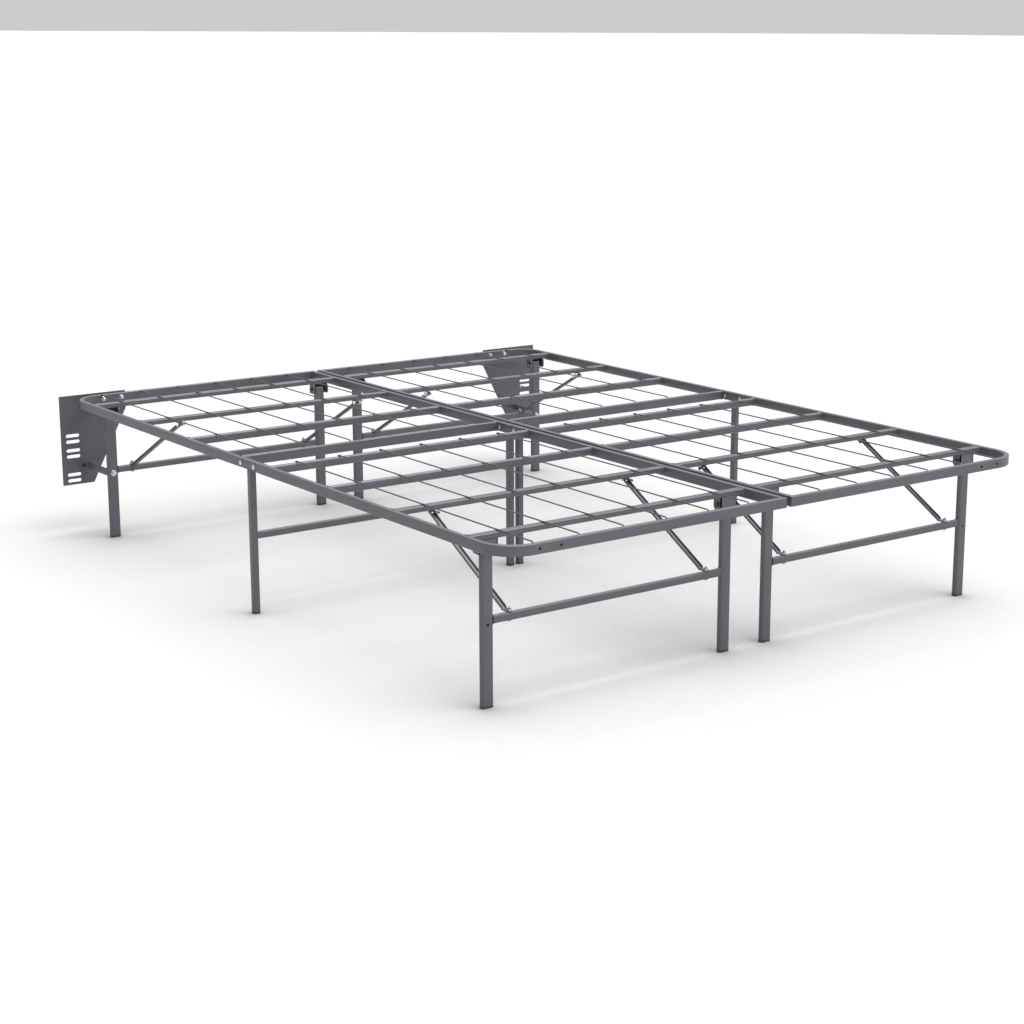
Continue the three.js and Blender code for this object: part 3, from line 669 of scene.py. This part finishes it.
def board_strut(shape):
    """A strap bent twice: flat on the leg's back, along the bed, and flat on the plate."""
    leg_back = SECTIONS["head"]["legs"] + LEG[1] / 2 + FIT_GAP
    bend = 4.0
    y0 = leg_back + STRUT[0] / 2
    y1 = HALF_L - STRUT[0] / 2
    x1 = STRUT_X + STRUT[0] / 2
    path = [(Vector((STRUT_X - STRUT_REACH, y0, STRUT_HEIGHT)), X)]
    for i in range(7):
        a = math.pi / 2 * i / 6
        corner = Vector((x1 - bend + bend * math.sin(a), y0 + bend - bend * math.cos(a), STRUT_HEIGHT))
        path.append((corner, Vector((math.cos(a), math.sin(a), 0))))
    for i in range(7):
        a = math.pi / 2 * i / 6
        corner = Vector((x1 + bend - bend * math.cos(a), y1 - bend + bend * math.sin(a), STRUT_HEIGHT))
        path.append((corner, Vector((math.sin(a), math.cos(a), 0))))
    path.append((Vector((STRUT_X + STRUT_REACH, y1, STRUT_HEIGHT)), X))
    shape.rings([[c + a * d.cross(Z) + b * Z for a, b in rounded(*STRUT, 3)] for c, d in path])


# ---- the bed ----
def section_pieces(half, side, name, info):
    towards = info["towards"]
    prefix = f"{half}_{name}"
    deck = "head_sections" if name == "head" else f"{half}_foot_section"
    legs_body = f"{half}_{name}_legs"
    legs = info["legs"]

    # slat over the legs, with its channel brackets
    shape = Shape()
    slat(shape, legs, SLAT_TOP, FLAT_SLAT)
    for x in LEG_X:
        leg_bracket(shape, x, legs)
    shape.piece(f"{prefix}_leg_slat_bar", deck, PAINT, "painted_steel", side, towards,
                [f"{prefix}_leg_slat"])

    # slat that the braces hang from
    shape = Shape()
    slat(shape, BRACE_SLAT, SLAT_TOP, FLAT_SLAT)
    for x in BRACE_X:
        brace_lug(shape, x)
    shape.piece(f"{prefix}_brace_slat_bar", deck, PAINT, "painted_steel", side, towards,
                [f"{prefix}_brace_slat"])

    # oval slat and wires
    shape = Shape()
    slat(shape, info["wire_slat"], WELDED_SLAT_TOP, OVAL_SLAT)
    shape.piece(f"{prefix}_oval_slat", deck, PAINT, "painted_steel", side, towards)
    shape = Shape()
    end = IN_END - 2.4
    for x in WIRE_X:
        if name == "head":
            start = info["cross"] + RAIL[0] / 2 + WIRE_RADIUS
            stations = [(start, WIRE_HEIGHT - 4), (start + 0.8, WIRE_HEIGHT - 1.8),
                        (start + 2.4, WIRE_HEIGHT - 0.5), (start + 5, WIRE_HEIGHT)]
        else:
            start = info["cross"] - 4.9
            stations = [(start, WIRE_HEIGHT)]
        middle = (start + end) / 2
        stations += [(middle, WIRE_HEIGHT), (end - 5, WIRE_HEIGHT), (end - 2.4, WIRE_HEIGHT - 0.5),
                     (end - 0.8, WIRE_HEIGHT - 1.8), (end, WIRE_HEIGHT - 4)]
        wire_run(shape, x, stations)
    shape.piece(f"{prefix}_wires", deck, WIRE_PAINT, "painted_steel", side, towards,
                [f"{prefix}_wire_deck"], 50)

    # welds: wires to slats and rails, coloured darker partly for soot and partly as painted shade where the
    # wires meet
    shape = Shape()
    seed = 0
    for x in WIRE_X:
        for y, top in ((legs, SLAT_TOP), (BRACE_SLAT, SLAT_TOP), (info["wire_slat"], WELDED_SLAT_TOP)):
            seed += 1
            weld_spot(shape, Vector((x, y, top + 0.5)), (2.9, 3.8, 1.7), seed)
        seed += 1
        weld_spot(shape, Vector((x, end - 0.2, WIRE_HEIGHT - 2.6)), (2.4, 2.0, 2.4), seed)
        seed += 1
        if name == "head":
            weld_spot(shape, Vector((x, start - 0.6, WIRE_HEIGHT - 2.8)), (2.6, 2.0, 2.6), seed)
        else:
            weld_spot(shape, Vector((x, start + 2, SLAT_TOP + 0.4)), (2.9, 3.4, 1.7), seed)
    shape.piece(f"{prefix}_wire_welds", deck, WELD_SOOT_AND_SHADE, "painted_steel", side, towards, smooth=80)

    # leg frame
    shape = Shape()
    for x in LEG_X:
        end_leg(shape, x, legs)
    bar_from = LEG_X[0] + LEG[0] / 2 - 0.4
    bar_to = LEG_X[1] - LEG[0] / 2 + 0.4
    shape.tube(Vector((bar_from, legs, LEG_CROSSBAR)), Vector((bar_to, legs, LEG_CROSSBAR)), Y, Z,
               CROSSBAR, steps=5, flare=(1.7, 1.7))
    shape.drill([(Vector((LEG_X[1], legs - LEG[1], STRUT_HOLE)),
                  Vector((LEG_X[1], legs + LEG[1], STRUT_HOLE)), 3.2)])
    shape.piece(f"{prefix}_legs", legs_body, PAINT, "painted_steel", side, towards, [f"{prefix}_leg_frame"])
    for place, x in zip(("inner", "outer"), LEG_X):
        shape = Shape()
        glide(shape, x, legs, LEG)
        shape.piece(f"{prefix}_{place}_foot_cap", legs_body, PLASTIC, "black_plastic", side, towards,
                    [f"{prefix}_{place}_glide"])

    # leg pivots: bolt through the bracket, bushes, and a lock nut
    shape = Shape()
    for x in LEG_X:
        right = along(Vector((x + BRACKET_HALF, legs, LEG_PIVOT)), X)
        left = along(Vector((x - BRACKET_HALF, legs, LEG_PIVOT)), -X)
        hexagon(shape, right, 10, 0.0, 4.2)
        hexagon(shape, left, 10, 0.0, 5.0)
        for sign in (-1, 1):
            inwards = X * -sign
            washer(shape, along(Vector((x + sign * 20.4, legs, LEG_PIVOT)), inwards), 6.2, 3.0, 1.4)
            bush = along(Vector((x + sign * 20.2, legs, LEG_PIVOT)), inwards)
            shape.turned([(3.0, 0), (3.0, 5.4)], bush, 20)
    shape.piece(f"{prefix}_leg_bolts", deck, DARK_STEEL, None, side, towards)

    # braces
    for place, x in zip(("inner", "outer"), BRACE_X):
        body = f"{prefix}_{place}_brace"
        shape = Shape()
        brace(shape, x, legs)
        shape.piece(f"{prefix}_{place}_brace_bar", body, PAINT, "painted_steel", side, towards, [body])
        shape = Shape()
        foot = along(Vector((x, legs, BRACE_FOOT_Z + PLATE)), Z)
        washer(shape, foot, 5.6, 2.4, 1.0)
        hexagon(shape, foot, 8.6, 1.0, 4.0)
        thread(shape, foot, 2.3, 5.0, 8.2)
        shape.piece(f"{prefix}_{place}_brace_nut", body, DULL_ZINC, None, side, towards)
        shape = Shape()
        under = along(Vector((x, legs, LEG_CROSSBAR - CROSSBAR[1] / 2)), -Z)
        shape.turned([(5.0, -0.3), (5.4, 0.2), (5.2, 1.2), (4.0, 2.6), (1.8, 3.4), (0.2, 3.6)], under, 28)
        shape.piece(f"{prefix}_{place}_brace_bolt", legs_body, DULL_ZINC, None, side, towards)
        shape = Shape()
        pivot = Vector((x, *BRACE_PIVOT))
        hexagon(shape, along(pivot + X * 6, X), 8.6, 0.0, 3.4)
        wing = along(pivot - X * 6, -X, math.radians(35))
        washer(shape, wing, 5.0, 2.3, 0.9)
        thread(shape, wing, 2.3, 0.5, 9.4)
        wing_nut(shape, wing @ Matrix.Translation((0, 0, 0.9)))
        shape.piece(f"{prefix}_{place}_brace_pivot", body, ZINC, None, side, towards)


def half_pieces(half, side):
    outer_x = HALF_W - RAIL[0] / 2
    inner_x = INNER_EDGE + RAIL[0] / 2
    links = f"{half}_middle_legs"
    foot = f"{half}_foot_section"

    # head rails, round at the fold
    end_holes = [(Vector((x, IN_END - 2, PIVOT_HEIGHT)), Vector((x, HALF_L + 2, PIVOT_HEIGHT)), 3.5)
                 for x in END_RAIL_HOLES]
    shape = Shape()
    bent_rail(shape, knuckle_stations(outer_x, HEAD_PIVOT, 1))
    shape.drill(end_holes)
    shape.piece(f"{half}_head_outer_tube", "head_sections", PAINT, "painted_steel", side, 1,
                [f"{half}_head_outer_rail"])
    shape = Shape()
    stations = knuckle_stations(inner_x, HEAD_PIVOT, 1)
    stations.append((Vector((inner_x, IN_END - 0.1, PIVOT_HEIGHT)), X, Z, *RAIL))
    shape.loft(stations, 5, -1)
    shape.piece(f"{half}_head_inner_tube", "head_sections", PAINT, "painted_steel", side, 1,
                [f"{half}_head_inner_rail"])
    shape = Shape()
    y = SECTIONS["head"]["cross"]
    z = PIVOT_HEIGHT - 1
    shape.tube(Vector((IN_INNER + 0.05, y, z)), Vector((IN_OUTER - 0.05, y, z)), Y, Z, RAIL,
               steps=5, flare=(1.8, 1.8))
    shape.piece(f"{half}_head_fold_tube", "head_sections", PAINT, "painted_steel", side, 1,
                [f"{half}_head_fold_rail"])

    # foot rails, drawn at their real Y from the socket at the fold down to the foot
    for place, x in (("outer", outer_x), ("inner", inner_x)):
        shape = Shape()
        stations = socket_stations(x, FOOT_PIVOT)[::-1]
        stations = [(Vector((c.x, -c.y, c.z)), *rest) for c, *rest in stations]
        if place == "outer":
            bent_rail(shape, stations)
            shape.drill(end_holes)
        else:
            stations.append((Vector((x, IN_END - 0.1, PIVOT_HEIGHT)), X, Z, *RAIL))
            shape.loft(stations, 5, -1)
        shape.piece(f"{half}_foot_{place}_tube", foot, PAINT, "painted_steel", side, -1,
                    [f"{half}_foot_{place}_rail"])
    shape = Shape()
    slat(shape, SECTIONS["foot"]["cross"], SLAT_TOP, OVAL_SLAT)
    shape.piece(f"{half}_foot_fold_oval", foot, PAINT, "painted_steel", side, -1, [f"{half}_foot_fold_slat"])

    # hinge links, and the plates and rivets of both pivots
    for place, x, near, way in (("outer", outer_x, IN_OUTER, -1), ("inner", inner_x, IN_INNER, 1)):
        shape = Shape()
        stations = knuckle_stations(x, FOOT_PIVOT, 1) + socket_stations(x, HEAD_PIVOT)
        shape.loft(stations, 5, -1)
        face = near + way * PLATE
        hinge_plate(shape, near + way * FIT_GAP, face, HEAD_PIVOT, LINK_PLATE_END)
        seat(shape, near - way * 0.2, near + way * 0.5, LINK_PLATE_END, HEAD_PIVOT - SEAT_CLEARANCE)
        shape.piece(f"{half}_{place}_link_bar", links, PAINT, "painted_steel", side, 1,
                    [f"{half}_{place}_hinge_link"])
        shape = Shape()
        hinge_plate(shape, near + way * FIT_GAP, face, FOOT_PIVOT, FOOT_PLATE_END)
        seat(shape, near - way * 0.2, near + way * 0.5, FOOT_PLATE_END, FOOT_PIVOT - SEAT_CLEARANCE)
        shape.piece(f"{half}_foot_{place}_hinge_plate", foot, PAINT, "painted_steel", side, 1)
        outside = Vector((-way, 0, 0))
        rail_face = HALF_W if place == "outer" else INNER_EDGE
        for pivot, body, label in ((HEAD_PIVOT, links, "head"), (FOOT_PIVOT, foot, "foot")):
            shape = Shape()
            rivet(shape, Vector((rail_face, pivot, PIVOT_HEIGHT)), outside)
            rivet(shape, Vector((face, pivot, PIVOT_HEIGHT)), -outside, 5.2, 2.2)
            shape.piece(f"{half}_{place}_{label}_rivet", body, ZINC, None, side, 1)

    # middle leg frame
    shape = Shape()
    top = RAIL_TOP - RAIL[1] - FIT_GAP
    inner = INNER_EDGE + MIDDLE_LEG[0] / 2
    outer = HALF_W - MIDDLE_LEG[0] / 2
    for x in (inner, outer):
        shape.tube(Vector((x, MIDDLE_LEG_Y, LEG_FOOT)), Vector((x, MIDDLE_LEG_Y, top)), X, Y, MIDDLE_LEG,
                   cut=0.2, steps=5)
    bar_from = Vector((inner + 5.9, MIDDLE_LEG_Y, MIDDLE_CROSSBAR))
    bar_to = Vector((outer - 5.9, MIDDLE_LEG_Y, MIDDLE_CROSSBAR))
    shape.tube(bar_from, bar_to, Y, Z, CROSSBAR, steps=5, flare=(1.7, 1.7))
    shape.piece(f"{half}_middle_legs_tubes", links, PAINT, "painted_steel", side, 1,
                [f"{half}_middle_leg_frame"])
    for place, x in (("inner", inner), ("outer", outer)):
        shape = Shape()
        glide(shape, x, MIDDLE_LEG_Y, MIDDLE_LEG)
        shape.piece(f"{half}_middle_{place}_foot_cap", links, PLASTIC, "black_plastic", side, 1,
                    [f"{half}_middle_{place}_glide"])

    for name, info in SECTIONS.items():
        section_pieces(half, side, name, info)

    # headboard bracket, its strut and their fasteners
    board_plate().piece(f"{half}_headboard_plate", "head_sections", PAINT, "painted_steel", side, 1,
                        [f"{half}_headboard_bracket"])
    shape = Shape()
    board_strut(shape)
    shape.piece(f"{half}_headboard_strap", "head_sections", PAINT, "painted_steel", side, 1,
                [f"{half}_headboard_strut"])
    shape = Shape()
    for x in END_RAIL_HOLES:
        inside = along(Vector((x, IN_END, PIVOT_HEIGHT)), -Y)
        washer(shape, inside, 6.5, 2.9, 1.2)
        hexagon(shape, inside, 10, 1.2, 4.6)
        thread(shape, inside, 2.8, 5.8, 8.6)
    front = along(Vector((LEG_X[1], SECTIONS["head"]["legs"] - LEG[1] / 2, STRUT_HOLE)), -Y)
    washer(shape, front, 8.2, 2.9, 1.3)
    hexagon(shape, front, 10, 1.3, 4.0)
    shape.piece(f"{half}_headboard_bolts", "head_sections", ZINC, None, side, 1)
    shape = Shape()
    plate_side = Vector((STRUT_X + 14, HALF_L - STRUT[0], STRUT_HEIGHT))
    hexagon(shape, along(plate_side, -Y), 10, 0, 4.4)
    shape.piece(f"{half}_headboard_strap_bolt", "head_sections", DARK_STEEL, None, side, 1)


for half_name, half_side in (("left", -1), ("right", 1)):
    half_pieces(half_name, half_side)


# ---- floor, light and camera ----
FLOOR_WHITE = 0.455
# FLOOR_SHADED is the floor colour inside the painted shadow; SHADE_DISTANCE is how far it reaches
FLOOR_SHADED = 0.302
SHADE_DISTANCE = 0.6


def floor():
    """A pale floor with a painted shadow: its colour is darkened a little where the object is near."""
    bm = bmesh.new()
    bmesh.ops.create_grid(bm, x_segments=1, y_segments=1, size=250)
    mesh = bpy.data.meshes.new("floor")
    bm.to_mesh(mesh)
    bm.free()
    n = Nodes("floor_painted_shadow")
    # painted shadow: ambient occlusion darkens the floor colour under and around the object
    nearby = n.tree.nodes.new("ShaderNodeAmbientOcclusion")
    nearby.samples = 16
    nearby.inputs["Distance"].default_value = SHADE_DISTANCE
    tint = n.ramp(n.noise(0.6, 2), [(0.3, (0.99, 1.0, 0.985)), (0.7, (1.0, 1.0, 1.0))])
    shade = n.ramp(nearby.outputs["AO"], [(0.72, grey(FLOOR_SHADED)), (0.96, grey(FLOOR_WHITE))])
    n.link(n.mixed(1.0, shade, tint, "MULTIPLY"), n.shader.inputs["Base Color"])
    n.shader.inputs["Roughness"].default_value = 0.85
    mesh.materials.append(n.material)
    made = bpy.data.objects.new("floor", mesh)
    bpy.context.scene.collection.objects.link(made)


def overhead_light(strength):
    """A wide source almost straight above, for a soft shadow under the bed."""
    data = bpy.data.lights.new("overhead", "SUN")
    data.angle = math.radians(62)
    data.energy = strength
    made = bpy.data.objects.new("overhead", data)
    made.rotation_euler = (math.radians(8), math.radians(10), 0)
    bpy.context.scene.collection.objects.link(made)


def world(near, far):
    """Plain surroundings: near is their strength towards -X and -Y, and far towards +X and +Y."""
    made = bpy.data.worlds.new("studio")
    made.use_nodes = True
    tree = made.node_tree
    place = tree.nodes.new("ShaderNodeTexCoord")
    away = tree.nodes.new("ShaderNodeVectorMath")
    away.operation = "DOT_PRODUCT"
    away.inputs[1].default_value = (0.9, 0.43, 0)
    tree.links.new(place.outputs["Generated"], away.inputs[0])
    strength = tree.nodes.new("ShaderNodeMapRange")
    strength.inputs["From Min"].default_value = -0.9
    strength.inputs["From Max"].default_value = 0.3
    strength.inputs["To Min"].default_value = near
    strength.inputs["To Max"].default_value = far
    tree.links.new(away.outputs["Value"], strength.inputs["Value"])
    background = tree.nodes["Background"]
    background.inputs["Color"].default_value = (1.0, 1.0, 1.0, 1)
    tree.links.new(strength.outputs["Result"], background.inputs["Strength"])
    bpy.context.scene.world = made


def camera():
    yaw, pitch, roll = 0.6633, -0.2309, 0.0071
    forward = Vector((math.sin(yaw) * math.cos(pitch),
                      math.cos(yaw) * math.cos(pitch),
                      math.sin(pitch)))
    right = Vector((math.cos(yaw), -math.sin(yaw), 0))
    up = right.cross(forward)
    right, up = (math.cos(roll) * right + math.sin(roll) * up,
                 -math.sin(roll) * right + math.cos(roll) * up)
    data = bpy.data.cameras.new("camera")
    data.lens = 71.22
    data.sensor_width = 36
    data.shift_x = -0.0869
    data.shift_y = -0.0117
    data.clip_start, data.clip_end = 0.1, 800
    made = bpy.data.objects.new("camera", data)
    turn = Matrix((right, up, -forward)).transposed().to_4x4()
    made.matrix_world = Matrix.Translation(Vector((-2954.6, -4133.4 + DECK_Y, 1367.6)) * MM) @ turn
    bpy.context.scene.collection.objects.link(made)
    bpy.context.scene.camera = made


floor()
world(0.3, 0.6)
overhead_light(5.6)
camera()
bpy.context.scene.view_settings.view_transform = "Standard"
